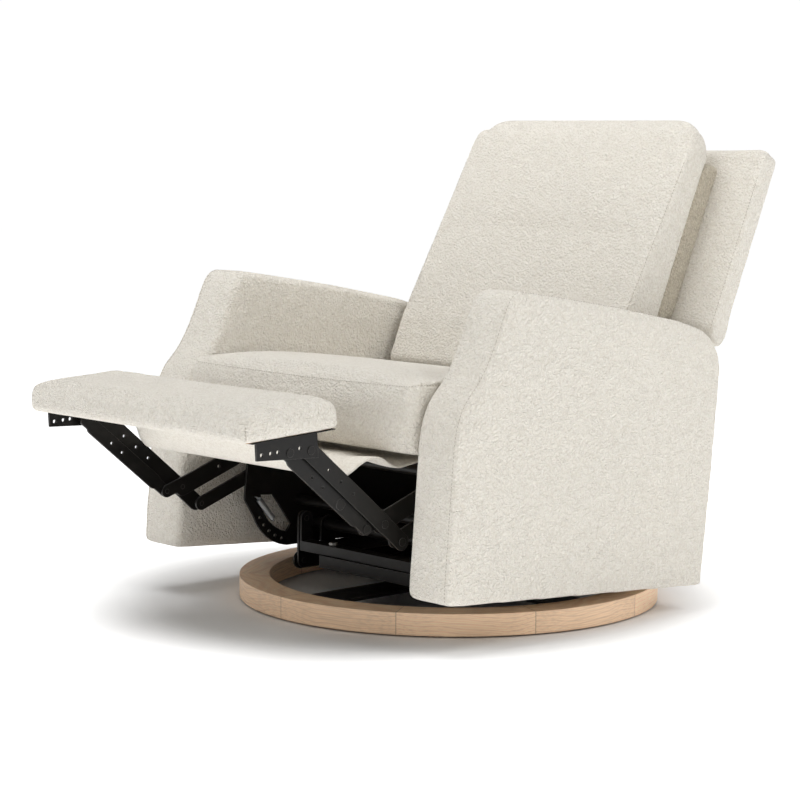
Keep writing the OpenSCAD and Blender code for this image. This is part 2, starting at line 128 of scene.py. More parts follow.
# Meshing and simulation: voxels in metres, seam lengths in millimetres
VOXEL = 0.006
PAD_VOXEL = 0.0045
SIM_FRAMES = 20
CLOTH_PRESSURE = 4.0
SEAM_STEP = 2.0
SEAM_GRIP = 5.0
CORNER_POWER = 2.2

# Direction of the white backdrop, and the middle of the shaded floor
BACKDROP = (-0.736, 0.677, 0.0)
SHADOW_CENTRE = (-0.06, -0.06, 0.0)

# Camera
CAMERA_PLACE = (3.00455, -2.8817, 0.82137)
CAMERA_YAW = 47.42
CAMERA_PITCH = 6.43
CAMERA_ROLL = 0.35
CAMERA_LENS = 105.3


def lean_matrix():
    """Millimetres in the seat's leaning frame to metres in the row frame."""
    pivot = Matrix.Translation((0, 0, LEAN_Z))
    turn = Matrix.Rotation(-math.radians(LEAN_DEG), 4, "X")
    return pivot @ turn @ pivot.inverted() @ Matrix.Scale(MM, 4)


LEANED = lean_matrix()
UNLEANED = LEANED.inverted()


def leaned(points):
    """Row-frame metres of points given in the leaning frame."""
    m = np.array(LEANED)
    return np.asarray(points, float) @ m[:3, :3].T + m[:3, 3]


def unleaned(points):
    """Leaning-frame millimetres of row-frame points."""
    m = np.array(UNLEANED)
    return np.asarray(points, float) @ m[:3, :3].T + m[:3, 3]


# ---------------------------------------------------------------- outlines


def bezier(a, b, c, d, count=8):
    """Points of a cubic curve."""
    t = np.linspace(0, 1, count + 1)[:, None]
    a, b, c, d = (np.array(p, float) for p in (a, b, c, d))
    s = 1 - t
    return s**3 * a + 3 * s**2 * t * b + 3 * s * t**2 * c + t**3 * d


def arc(centre, radius, start, end, count=6):
    """Points of an arc, with its angles in degrees."""
    a = np.radians(np.linspace(start, end, count + 1))
    return np.array(centre) + radius * np.column_stack([np.cos(a), np.sin(a)])


def arm_outline():
    """Upright front, S-curved shoulder, sloping top and rounded rear corner."""
    return np.vstack(
        [
            [[247, 62], [-356, 60], [-364, 63], [-369, 70]],
            bezier((-366, 310), (-364, 350), (-354, 375), (-338, 393)),
            bezier((-325, 408), (-300, 440), (-286, 483), (-275, 514)),
            bezier((-270, 528), (-261, 550), (-251, 562), (-237, 560)),
            [[-146, 553], [0, 540], [148, 522]],
            bezier((205, 509), (237, 496), (262, 469), (262, 434)),
            [[256, 246]],
        ]
    )


def seat_outline():
    """Box cushion with a crowned top panel and a rounded front edge."""
    return np.vstack(
        [
            [[88, 289], [-352, 289], [-366, 293], [SEAT_FRONT, 304]],
            bezier((SEAT_FRONT, 340), (-372, 368), (SEAT_FRONT, 390), (-364, SEAM_Z)),
            bezier((-352, 409), (-290, 418), (-180, 418), (-30, 407)),
            [[62, 397], [86, 385]],
        ]
    )


def shell_outline():
    """Slab of the outer back, rounded over its top and under its foot."""
    return np.vstack(
        [
            [SHELL_FOOT, SHELL_TOP],
            bezier((389, 818), (396, 837), (429, 841), (432, 812)),
            [[397, 716], [348, 582]],
            bezier((329, 529), (322, 472), (296, 460), (278, 495)),
        ]
    )


def block_outline():
    """Flat padded block between the back cushion and the shell."""
    return np.vstack(
        [
            [[233, 514]],
            bezier((329, 781), (335, 795), (346, 805), (369, 801)),
            [[389, 799], [291, 521]],
        ]
    )


def back_cushion_front():
    """Front of the back cushion, from its foot up to where it starts to roll back."""
    return bezier((122, 490), (164, 580), (217, 684), (273, 806), 16)


def back_cushion_outline():
    """Slanted front, domed top, and a foot tucked behind the seat cushion."""
    return np.vstack(
        [
            [[140, 361], [109, 389], [96, 412]],
            back_cushion_front(),
            bezier((286, 836), (298, 887), (342, 890), (342, 852)),
            [[333, 806], [227, 514], [211, 440], [190, 373]],
        ]
    )


def rear_panel_outline():
    """Upholstered panel between the arms' rear edges."""
    return np.array(
        [
            [242, 62],
            [250, 62],
            [257, 246],
            [261, 416],
            [249, 434],
            [233, 430],
            [225, 300],
            [239, 240],
        ],
        float,
    )


def on_footrest(along, up):
    """[y, z] at a distance forward along the footrest's top and above it."""
    c, s = math.cos(FOOT_SLOPE), math.sin(FOOT_SLOPE)
    return FOOT_BACK + along * np.array([-c, -s]) + up * np.array([-s, c])


def pad_outline():
    """Footrest slab with a soft top edge and a tighter lower one."""
    top_r, low_r = 20.0, 9.0
    slope = math.degrees(FOOT_SLOPE)
    corners = [
        (FOOT_LEN - top_r, -top_r, top_r, 90),
        (FOOT_LEN - low_r, low_r - FOOT_THICK, low_r, 180),
        (low_r, low_r - FOOT_THICK, low_r, 270),
        (top_r, -top_r, top_r, 0),
    ]
    return np.vstack(
        [
            arc(on_footrest(along, up), r, slope + a, slope + a + 90)
            for along, up, r, a in corners
        ]
    )


def resampled(outline, step=4.0):
    """The closed outline as evenly spaced points."""
    closed = np.vstack([outline, outline[:1]])
    run = np.linalg.norm(np.diff(closed, axis=0), axis=1)
    s = np.concatenate([[0], np.cumsum(run)])
    at = np.arange(0, s[-1], step)
    return np.column_stack([np.interp(at, s, closed[:, k]) for k in range(2)])


def inset(outline, amount):
    """The outline moved inwards by amount."""
    along = np.roll(outline, -1, 0) - np.roll(outline, 1, 0)
    along /= np.linalg.norm(along, axis=1)[:, None] + 1e-9
    x, y = outline[:, 0], outline[:, 1]
    turn = np.sign((x * np.roll(y, -1) - np.roll(x, -1) * y).sum())
    inward = turn * np.column_stack([-along[:, 1], along[:, 0]])
    return outline + amount * inward


# ---------------------------------------------------------------- meshes


def new_object(name, verts, faces):
    """A smooth-shaded mesh object at the origin, with its normals outwards."""
    mesh = bpy.data.meshes.new(name)
    mesh.from_pydata([tuple(v) for v in verts], [], faces)
    bm = bmesh.new()
    bm.from_mesh(mesh)
    bmesh.ops.recalc_face_normals(bm, faces=bm.faces)
    bm.to_mesh(mesh)
    bm.free()
    mesh.polygons.foreach_set("use_smooth", [True] * len(mesh.polygons))
    obj = bpy.data.objects.new(name, mesh)
    bpy.context.scene.collection.objects.link(obj)
    return obj


def slab(name, outline, x0, x1, round0, round1, steps=5):
    """A solid of an outline from x0 to x1, with rounded edges at both ends."""
    outline = resampled(outline)
    layers = []
    for x, r, way in ((x0, round0, 1), (x1, round1, -1)):
        half = []
        for a in np.linspace(0, math.pi / 2, steps):
            ring = inset(outline, r * (1 - math.sin(a)))
            at = np.full((len(ring), 1), x + way * r * (1 - math.cos(a)))
            half.append(np.hstack([at, ring]))
        layers += half if way > 0 else half[::-1]
    n = len(outline)
    faces = [list(range(n)), list(range((len(layers) - 1) * n, len(layers) * n))]
    for k in range(len(layers) - 1):
        for i in range(n):
            j = (i + 1) % n
            faces.append([k * n + i, k * n + j, (k + 1) * n + j, (k + 1) * n + i])
    return new_object(name, leaned(np.vstack(layers)), faces)


def coordinates(mesh):
    """The mesh's vertices as an array."""
    co = np.zeros(len(mesh.vertices) * 3)
    mesh.vertices.foreach_get("co", co)
    return co.reshape(-1, 3)


def set_coordinates(mesh, co):
    """Moves the mesh's vertices to an array of places."""
    mesh.vertices.foreach_set("co", np.asarray(co).ravel())
    mesh.update()


def vertex_normals(mesh):
    """The mesh's vertex normals as an array."""
    normals = np.zeros(len(mesh.vertices) * 3)
    mesh.vertex_normals.foreach_get("vector", normals)
    return normals.reshape(-1, 3)


def baked(obj):
    """Replaces obj's mesh by the result of its modifiers."""
    graph = bpy.context.evaluated_depsgraph_get()
    made = bpy.data.meshes.new_from_object(obj.evaluated_get(graph))
    obj.modifiers.clear()
    obj.data = made
    made.polygons.foreach_set("use_smooth", [True] * len(made.polygons))


def remeshed(obj, voxel=VOXEL):
    """An even mesh all over, smoothed a little."""
    modifier = obj.modifiers.new("remesh", "REMESH")
    modifier.mode = "VOXEL"
    modifier.voxel_size = voxel
    smooth = obj.modifiers.new("smooth", "SMOOTH")
    smooth.factor = 0.5
    smooth.iterations = 3
    baked(obj)


def subdivided(obj):
    """One smooth subdivision, baked into the mesh."""
    obj.modifiers.new("subdivision", "SUBSURF").levels = 1
    baked(obj)


def rounded_corner(obj, centre, u, v, radius):
    """Rounds the edge that runs square to u and v, about a line through centre (mm)."""
    co = unleaned(coordinates(obj.data))
    u, v = (np.array(d, float) / np.linalg.norm(d) for d in (u, v))
    a, b = (co - centre) @ u, (co - centre) @ v
    near = (a > 0) & (b > 0) & (np.maximum(a, b) < radius * 1.6)
    a1, b1 = np.where(near, a, 1.0), np.where(near, b, 0.0)
    reach = (a1**CORNER_POWER + b1**CORNER_POWER) ** (1 / CORNER_POWER)
    scale = np.maximum(a1, b1) / reach
    co += ((scale - 1) * a)[:, None] * u + ((scale - 1) * b)[:, None] * v
    set_coordinates(obj.data, leaned(co))


# ---------------------------------------------------------------- seams and stuffing


def line_points(points, step=SEAM_STEP):
    """Evenly spaced points along an open 3-D line in millimetres."""
    points = np.asarray(points, float)
    run = np.linalg.norm(np.diff(points, axis=0), axis=1)
    s = np.concatenate([[0], np.cumsum(run)])
    at = np.arange(0, s[-1], step)
    return np.column_stack([np.interp(at, s, points[:, k]) for k in range(3)])


def at_x(outline, x):
    """An outline's points as 3-D points at one x."""
    return np.hstack([np.full((len(outline), 1), float(x)), outline])


def line_tree(lines):
    """A nearest-point tree over lines given in the leaning frame."""
    points = leaned(np.vstack(lines))
    tree = KDTree(len(points))
    for i, p in enumerate(points):
        tree.insert(p, i)
    tree.balance()
    return tree


def seam_distance(obj, seams):
    """Each vertex's distance from the nearest seam, in millimetres."""
    tree = line_tree(seams)
    return np.array([tree.find(c)[2] for c in coordinates(obj.data)]) / MM


def stuffed(obj, seams, caps, pinned=None):
    """Swells a closed mesh by cloth pressure. Its seams are held, and caps (mm) limit
    how far a point may move along x, y and z."""
    rest = coordinates(obj.data)
    hold = seam_distance(obj, seams) < SEAM_GRIP
    if pinned is not None:
        hold |= pinned(unleaned(rest))
    group = obj.vertex_groups.new(name="held")
    group.add([int(i) for i in np.nonzero(hold)[0]], 1.0, "ADD")
    cloth = obj.modifiers.new("cloth", "CLOTH")
    cloth.settings.quality = 4
    cloth.settings.mass = 0.3
    cloth.settings.tension_stiffness = 20
    cloth.settings.compression_stiffness = 20
    cloth.settings.shear_stiffness = 8
    cloth.settings.bending_stiffness = 2
    cloth.settings.use_pressure = True
    cloth.settings.uniform_pressure_force = CLOTH_PRESSURE
    cloth.settings.effector_weights.gravity = 0
    cloth.settings.vertex_group_mass = "held"
    cloth.collision_settings.use_collision = False
    cloth.point_cache.frame_end = SIM_FRAMES
    for f in range(1, SIM_FRAMES + 1):
        bpy.context.scene.frame_set(f)
    graph = bpy.context.evaluated_depsgraph_get()
    moved = coordinates(obj.evaluated_get(graph).data) - rest
    obj.modifiers.clear()
    obj.vertex_groups.clear()
    limit = np.array(caps) * MM
    set_coordinates(obj.data, rest + limit * np.tanh(moved / limit))
    bpy.context.scene.frame_set(1)


def piped(obj, lines, width=10.0, share=0.5):
    """Draws a cover out to a crisp edge along lines."""
    tree = line_tree(lines)
    co = coordinates(obj.data)
    for i, c in enumerate(co):
        target, _, away = tree.find(c)
        pull = share * max(0.0, 1 - away / (width * MM))
        co[i] = c + pull * (np.array(target) - c)
    set_coordinates(obj.data, co)


def sewn(obj, seams, width=7.0, depth=2.4):
    """Draws the cloth in along its seams, with small puckers across them."""
    away = seam_distance(obj, seams)
    share = np.clip(1 - away / width, 0, 1)
    co = coordinates(obj.data)
    ripple = 0.5 + 0.5 * np.sin(co @ np.array([410.0, 530.0, 470.0]))
    pull = depth * share**2 * (0.75 + 0.5 * ripple)
    set_coordinates(obj.data, co - vertex_normals(obj.data) * (pull * MM)[:, None])


def thread_run(start, end, out, thick):
    """Vertices of one short run of thread, in three rings of six."""
    side = np.cross(end - start, out)
    side /= np.linalg.norm(side) + 1e-9
    verts = []
    for share, slim in ((0.0, 0.4), (0.5, 1.0), (1.0, 0.4)):
        middle = start + share * (end - start) + out * thick * 0.4
        for k in range(6):
            a = math.pi * k / 3
            verts.append(middle + (math.cos(a) * side + math.sin(a) * out) * thick * slim)
    return verts


def stitches(name, covers, spacing=6.0, share=0.7, thick=0.55):
    """One mesh of the thread runs that lie on covers along their seams."""
    verts, faces = [], []
    for cover, seams in covers:
        polygons = [tuple(p.vertices) for p in cover.data.polygons]
        tree = BVHTree.FromPolygons(coordinates(cover.data).tolist(), polygons)
        for seam in seams:
            hits = [tree.find_nearest(p) for p in leaned(line_points(seam, spacing))]
            for first, second in zip(hits[:-1], hits[1:]):
                start, end, out = (np.array(v) for v in (first[0], second[0], first[1]))
                base = len(verts)
                verts += thread_run(start, start + share * (end - start), out, thick * MM)
                for a in (base, base + 6):
                    for i in range(6):
                        j = (i + 1) % 6
                        faces.append([a + i, a + j, a + 6 + j, a + 6 + i])
                faces.append([base + i for i in range(6)])
                faces.append([base + 12 + i for i in range(6)])
    return new_object(name, verts, faces)


# ---------------------------------------------------------------- shaders


def feed(tree, socket, value):
    """Links a socket to another one, or sets its plain value."""
    if isinstance(value, bpy.types.NodeSocket):
        tree.links.new(value, socket)
    else:
        socket.default_value = value


def add(tree, kind, settings=None, **inputs):
    """A shader node with settings, and inputs that are values or sockets."""
    node = tree.nodes.new("ShaderNode" + kind)
    for key, value in (settings or {}).items():
        setattr(node, key, value)
    for key, value in inputs.items():
        feed(tree, node.inputs[key.replace("_", " ")], value)
    return node


def calc(tree, operation, *values, clamp=False):
    """A Math node's result."""
    node = tree.nodes.new("ShaderNodeMath")
    node.operation = operation
    node.use_clamp = clamp
    for socket, value in zip(node.inputs, values):
        feed(tree, socket, value)
    return node.outputs[0]


def vector(tree, operation, *values):
    """A Vector Math node, for its first output or the Value of a dot or length."""
    node = tree.nodes.new("ShaderNodeVectorMath")
    node.operation = operation
    for socket, value in zip(node.inputs, values):
        feed(tree, socket, value)
    return node


def mixed(tree, factor, a, b):
    """A blend of two colours."""
    node = tree.nodes.new("ShaderNodeMix")
    node.data_type = "RGBA"
    for index, value in ((0, factor), (6, a), (7, b)):
        feed(tree, node.inputs[index], value)
    return node.outputs[2]


def ramp(tree, factor, *stops):
    """A colour ramp over (position, colour) stops."""
    node = add(tree, "ValToRGB", Fac=factor)
    elements = node.color_ramp.elements
    while len(elements) < len(stops):
        elements.new(0.5)
    for element, (position, colour) in zip(elements, stops):
        element.position = position
        element.color = colour
    return node.outputs[0]


def grey(value):
    """An opaque grey."""
    return (value, value, value, 1.0)


def shader(name):
    """A new material with a Principled shader: (material, tree, principled, coordinates)."""
    material = bpy.data.materials.new(name)
    material.use_nodes = True
    tree = material.node_tree
    principled = tree.nodes["Principled BSDF"]
    place = add(tree, "TexCoord").outputs["Object"]
    return material, tree, principled, place


def link(tree, principled, **sockets):
    """Sets or links the Principled shader's inputs by name."""
    for key, value in sockets.items():
        feed(tree, principled.inputs[key.replace("_", " ")], value)


def edge_highlight(tree, radius):
    """(bevelled normal, 0 to 1 mask of the edges, which the finishes paint lighter as a
    highlight).
    """
    bevel = add(tree, "Bevel", {"samples": 4}, Radius=radius).outputs["Normal"]
    normal = add(tree, "NewGeometry").outputs["Normal"]
    facing = vector(tree, "DOT_PRODUCT", bevel, normal).outputs["Value"]
    mask = add(
        tree, "MapRange", Value=facing, From_Min=0.995, From_Max=0.88
    ).outputs["Result"]
    return bevel, mask


def boucle(name, dark, light, loop_scale=260.0, relief=0.0042):
    """Looped bouclé cloth: small curls of yarn, with shade painted darker into the hollows
    between them.
    """
    material, tree, principled, place = shader(name)
    wobble = add(tree, "TexNoise", Vector=place, Scale=120.0, Detail=2.0)
    shift = vector(tree, "SUBTRACT", wobble.outputs["Color"], (0.5, 0.5, 0.5))
    shift = vector(tree, "MULTIPLY", shift.outputs[0], (0.007, 0.007, 0.007))
    bent = vector(tree, "ADD", place, shift.outputs[0]).outputs[0]
    loops = add(
        tree,
        "TexVoronoi",
        {"feature": "SMOOTH_F1"},
        Vector=bent,
        Scale=loop_scale,
        Smoothness=0.4,
    ).outputs["Distance"]
    curls = add(
        tree, "TexVoronoi", {"feature": "F1"}, Vector=bent, Scale=2.3 * loop_scale
    ).outputs["Distance"]
    yarn = add(
        tree, "TexNoise", Vector=bent, Scale=900.0, Detail=3.0, Roughness=0.7
    ).outputs["Fac"]
    clumps = add(tree, "TexNoise", Vector=place, Scale=55.0, Detail=2.0).outputs["Fac"]
    height = calc(tree, "MULTIPLY_ADD", loops, -0.75, 0.9)
    height = calc(tree, "MULTIPLY_ADD", curls, -0.25, height)
    height = calc(tree, "MULTIPLY_ADD", yarn, 0.2, height)
    height = calc(tree, "MULTIPLY_ADD", clumps, 0.45, height)
    bump = add(tree, "Bump", Height=height, Strength=1.0, Distance=relief)
    # Painted shade: the ramp darkens the colour where the loops are low, in the hollows
    # between them.
    tone = ramp(tree, height, (0.45, dark), (0.95, light))
    drift = add(tree, "TexNoise", Vector=place, Scale=5.0, Detail=3.0).outputs["Fac"]
    warm = tuple(c * w for c, w in zip(light, (1.0, 0.975, 0.93, 1.0)))
    share = calc(tree, "MULTIPLY", drift, 0.35)
    link(
        tree,
        principled,
        Base_Color=mixed(tree, share, tone, warm),
        Roughness=0.95,
        Specular_IOR_Level=0.15,
        Sheen_Weight=0.25,
        Sheen_Roughness=0.6,
        Normal=bump.outputs["Normal"],
    )
    return material


def glued_segments(tree, place):
    """Splits the ring into its segments: (seed outputs, place turned so that each
    segment's grain runs straight, 0 to 1 part of the way along the segment)."""
    split = add(tree, "SeparateXYZ", Vector=place).outputs
    angle = calc(tree, "ARCTAN2", split["X"], calc(tree, "MULTIPLY", split["Y"], -1.0))
    turns = calc(tree, "DIVIDE", angle, 2 * math.pi / RING_SEGMENTS)
    turns = calc(tree, "SUBTRACT", turns, FIRST_JOINT)
    index = calc(tree, "FLOOR", turns)
    part = calc(tree, "SUBTRACT", turns, index)
    seed = add(tree, "TexWhiteNoise", {"noise_dimensions": "1D"}, W=index).outputs
    middle = calc(tree, "ADD", index, 0.5 + FIRST_JOINT)
    middle = calc(tree, "MULTIPLY", middle, -2 * math.pi / RING_SEGMENTS)
    turned = add(
        tree, "VectorRotate", {"rotation_type": "Z_AXIS"}, Vector=place, Angle=middle
    ).outputs[0]
    return seed, turned, part


def ring_wood(name):
    """Pale oiled hardwood, glued from curved segments with their own straight grain."""
    material, tree, principled, place = shader(name)
    seed, turned, part = glued_segments(tree, place)
    cut = vector(tree, "MULTIPLY_ADD", seed["Color"], (3.0, 0.9, 0.5), turned).outputs[0]
    sway = add(tree, "TexNoise", Vector=cut, Scale=4.0, Detail=3.0).outputs["Color"]
    sway = vector(tree, "MULTIPLY_ADD", sway, (0.0, 0.05, 0.05), cut).outputs[0]
    along = vector(tree, "MULTIPLY", sway, (0.35, 1.0, 1.7)).outputs[0]
    rings = add(
        tree,
        "TexWave",
        {"wave_type": "RINGS", "rings_direction": "X"},
        Vector=along,
        Scale=26.0,
        Distortion=2.2,
        Detail=2.0,
        Detail_Scale=1.2,
    ).outputs["Fac"]
    stretched = vector(tree, "MULTIPLY", cut, (14.0, 420.0, 420.0)).outputs[0]
    fibre = add(tree, "TexNoise", Vector=stretched, Scale=1.0, Detail=4.0).outputs["Fac"]
    tone = ramp(
        tree,
        rings,
        (0.0, (0.97, 0.68, 0.45, 1)),
        (0.55, (1.0, 0.75, 0.52, 1)),
        (1.0, (0.90, 0.61, 0.40, 1)),
    )
    pores = ramp(tree, fibre, (0.35, grey(0.92)), (0.6, grey(1.07)))
    tint = calc(tree, "MULTIPLY_ADD", seed["Value"], 0.16, 0.92)
    tone = vector(tree, "MULTIPLY", tone, pores).outputs[0]
    tone = vector(tree, "MULTIPLY", tone, tint).outputs[0]
    joint = calc(tree, "PINGPONG", part, 0.5)
    joint = calc(tree, "LESS_THAN", joint, 0.004)
    tone = mixed(tree, calc(tree, "MULTIPLY", joint, 0.45), tone, (0.22, 0.12, 0.06, 1))
    # Painted highlight: the edges are blended a quarter of the way towards a paler wood
    # colour.
    bevel, lit_edges = edge_highlight(tree, 0.0016)
    tone = mixed(tree, calc(tree, "MULTIPLY", lit_edges, 0.25), tone, (0.95, 0.76, 0.58, 1))
    bump = add(
        tree, "Bump", Height=fibre, Strength=0.18, Distance=0.0004, Normal=bevel
    )
    link(
        tree,
        principled,
        Base_Color=tone,
        Roughness=calc(tree, "MULTIPLY_ADD", fibre, 0.15, 0.42),
        Specular_IOR_Level=0.35,
        Normal=bump.outputs["Normal"],
    )
    return material


def frame_timber(name):
    """Sawn frame timber with straight grain along each rail."""
    material, tree, principled, place = shader(name)
    stretched = vector(tree, "MULTIPLY", place, (6.0, 90.0, 90.0)).outputs[0]
    grain = add(tree, "TexNoise", Vector=stretched, Scale=1.0, Detail=5.0).outputs["Fac"]
    # Painted highlight: the edges are blended towards a paler timber colour.
    bevel, lit_edges = edge_highlight(tree, 0.001)
    tone = ramp(tree, grain, (0.3, (0.40, 0.25, 0.13, 1)), (0.7, (0.62, 0.43, 0.25, 1)))
    bump = add(tree, "Bump", Height=grain, Strength=0.3, Distance=0.0006, Normal=bevel)
    link(
        tree,
        principled,
        Base_Color=mixed(tree, lit_edges, tone, (0.70, 0.52, 0.34, 1)),
        Roughness=0.75,
        Normal=bump.outputs["Normal"],
    )
    return material


def painted_steel(name):
    """Black paint on pressed steel, a little scuffed, with paler edges that are partly a
    painted highlight and partly worn paint.
    """
    material, tree, principled, place = shader(name)
    bevel, lit_edges = edge_highlight(tree, 0.0012)
    peel = add(tree, "TexNoise", Vector=place, Scale=420.0, Detail=1.0).outputs["Fac"]
    scuff = add(tree, "TexNoise", Vector=place, Scale=38.0, Detail=5.0).outputs["Fac"]
    patch = ramp(tree, scuff, (0.55, grey(0.0)), (0.75, grey(1.0)))
    # Painted highlight and wear: where the scuff noise is high, the edges turn paler and
    # partly metallic.
    edge_highlight_and_wear = calc(tree, "MULTIPLY", lit_edges, scuff)
    paint = mixed(tree, patch, (0.0055, 0.0048, 0.0042, 1), (0.012, 0.010, 0.0085, 1))
    bump = add(tree, "Bump", Height=peel, Strength=0.06, Distance=0.0004, Normal=bevel)
    link(
        tree,
        principled,
        Base_Color=mixed(tree, edge_highlight_and_wear, paint, (0.20, 0.19, 0.18, 1)),
        Roughness=calc(tree, "MULTIPLY_ADD", scuff, 0.25, 0.26),
        Metallic=calc(tree, "MULTIPLY", edge_highlight_and_wear, 0.6),
        Specular_IOR_Level=0.28,
        Normal=bump.outputs["Normal"],
    )
    return material


def bare_metal(name, colour, roughness, brushed=900.0):
    """Plated or bare steel with fine turning marks and dull patches."""
    material, tree, principled, place = shader(name)
    marks = add(tree, "TexNoise", Vector=place, Scale=brushed, Detail=2.0).outputs["Fac"]
    patch = add(tree, "TexNoise", Vector=place, Scale=60.0, Detail=3.0).outputs["Fac"]
    # Painted highlight: the edges are blended towards a pale grey.
    bevel, lit_edges = edge_highlight(tree, 0.0006)
    dull = tuple(c * 0.6 for c in colour[:3]) + (1.0,)
    tone = mixed(tree, patch, dull, colour)
    bump = add(tree, "Bump", Height=marks, Strength=0.12, Distance=0.0002, Normal=bevel)
    link(
        tree,
        principled,
        Base_Color=mixed(tree, lit_edges, tone, grey(0.8)),
        Metallic=1.0,
        Roughness=calc(tree, "MULTIPLY_ADD", patch, 0.25, roughness - 0.12),
        Normal=bump.outputs["Normal"],
    )
    return material


def moulded(name, colour, roughness, grain=700.0):
    """Moulded plastic, rubber or felt with a fine surface grain."""
    material, tree, principled, place = shader(name)
    fine = add(tree, "TexNoise", Vector=place, Scale=grain, Detail=3.0).outputs["Fac"]
    cloud = add(tree, "TexNoise", Vector=place, Scale=30.0, Detail=2.0).outputs["Fac"]
    bevel, lit_edges = edge_highlight(tree, 0.0008)
    dark = tuple(c * 0.8 for c in colour[:3]) + (1.0,)
    tone = mixed(tree, cloud, dark, colour)
    bump = add(tree, "Bump", Height=fine, Strength=0.25, Distance=0.0003, Normal=bevel)
    # Painted highlight: the edges are blended halfway towards this lighter copy of the
    # colour.
    lit = tuple(min(1.0, c * 1.25) for c in colour[:3]) + (1.0,)
    link(
        tree,
        principled,
        Base_Color=mixed(tree, calc(tree, "MULTIPLY", lit_edges, 0.5), tone, lit),
        Roughness=calc(tree, "MULTIPLY_ADD", fine, 0.15, roughness - 0.07),
        Normal=bump.outputs["Normal"],
    )
    return material


# Bouclé colours: the first of each pair is painted shade for the hollows between the loops,
# the second the colour on the loops.
CREAM_CREVICE_SHADE = (0.745, 0.695, 0.61, 1.0)
CREAM_LIGHT = (0.88, 0.843, 0.768, 1.0)
# A darker copy of the bouclé colours, painted shade for the padded block in the recess
# behind the back cushion.
SHADED_CREAM_CREVICE = (0.42, 0.37, 0.28, 1.0)
SHADED_CREAM_TOP = (0.64, 0.58, 0.47, 1.0)


def materials():
    """Every finish by the record's slot name, and the extra ones of this script."""
    return {
        "boucle": boucle("boucle", CREAM_CREVICE_SHADE, CREAM_LIGHT),
        "boucle_sheet": boucle("boucle_sheet", CREAM_CREVICE_SHADE, CREAM_LIGHT, relief=0.0016),
        # Painted shade: a darker copy of the bouclé for the block in the recess behind the
        # back cushion.
        "boucle_tan": boucle("boucle_tan", SHADED_CREAM_CREVICE, SHADED_CREAM_TOP),
        "light_wood": ring_wood("light_wood"),
        "frame_wood": frame_timber("frame_wood"),
        "black_steel": painted_steel("black_steel"),
        "zinc_steel": bare_metal("zinc_steel", (0.34, 0.33, 0.31, 1), 0.42),
        "bearing_steel": bare_metal("bearing_steel", (0.75, 0.75, 0.74, 1), 0.22),
        "spring_steel": bare_metal("spring_steel", (0.62, 0.64, 0.66, 1), 0.38),
        "cage_plastic": moulded("cage_plastic", (0.70, 0.66, 0.55, 1), 0.5),
        "felt_pad": moulded("felt_pad", (0.10, 0.095, 0.09, 1), 0.95, grain=1500.0),
        "bezel_plastic": moulded("bezel_plastic", (0.33, 0.32, 0.31, 1), 0.5),
        # The thread is darker than the cloth: real stitches, painted darker to stand for the
        # shade along the seam lines.
        "thread": moulded("thread", (0.52, 0.47, 0.39, 1), 0.85, grain=2500.0),
        "dust_cloth": moulded("dust_cloth", (0.018, 0.017, 0.016, 1), 0.9, grain=1800.0),
    }


def painted(obj, finishes, name):
    """Gives obj one finish, in every slot it has."""
    if obj.data.materials:
        for i in range(len(obj.data.materials)):
            obj.data.materials[i] = finishes[name]
    else:
        obj.data.materials.append(finishes[name])
    return obj


def paint_cad_nodes(finishes):
    """Each carried-over CAD node takes the finish of the record's slot."""
    slots = {m["slot"] for m in frame["record"]["materials"]}
    for node in frame["nodes"].values():
        used = node.data.materials[0].name.split(".")[0] if node.data.materials else ""
        painted(node, finishes, used if used in slots else "black_steel")


# ---------------------------------------------------------------- upholstery


def soft_piece(obj, finishes, body, node):
    """Gives a cushion the bouclé finish, puts it on its body and hides the CAD node it
    stands for.
    """
    painted(obj, finishes, "boucle")
    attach(obj, body)
    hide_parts(node)


def recessed(obj):
    """Sinks the cloth behind the release lever's bezel."""
    co = unleaned(coordinates(obj.data))
    off = np.abs(co[:, 1:] - LEVER_MIDDLE) < LEVER_HALF
    sunk = off.all(axis=1) & (co[:, 0] < ARM_IN + LEVER_DEPTH)
    co[sunk, 0] = ARM_IN + LEVER_DEPTH
    set_coordinates(obj.data, leaned(co))


def make_arm(side, finishes):
    """One upholstered arm, with an edge seam all round each of its side faces."""
    name = "left" if side > 0 else "right"
    outer_r, inner_r = 3.5, 17.0
    outline = arm_outline()
    ends = sorted((side * ARM_IN, side * HALF_WIDTH))
    rounds = (inner_r, outer_r) if side > 0 else (outer_r, inner_r)
    obj = slab(f"arm_cover_{name}", outline, *ends, *rounds)
    remeshed(obj)
    seams = []
    for depth, x in ((1.5, HALF_WIDTH - 1.5), (4.5, ARM_IN + 4.5)):
        rim = inset(resampled(outline), depth)
        seams.append(line_points(at_x(rim[rim[:, 1] > 66], side * x)))
    stuffed(obj, seams, (2.5, 4.0, 4.0), lambda p: p[:, 2] < 70)
    subdivided(obj)
    piped(obj, seams[:1])
    sewn(obj, seams[1:], width=5.0, depth=0.9)
    if side > 0:
        recessed(obj)
    soft_piece(obj, finishes, "chair", f"arm_{name}")
    beside = [line_points(seam - np.array([side * 7.0, 0, 0])) for seam in seams[:1]]
    return obj, beside


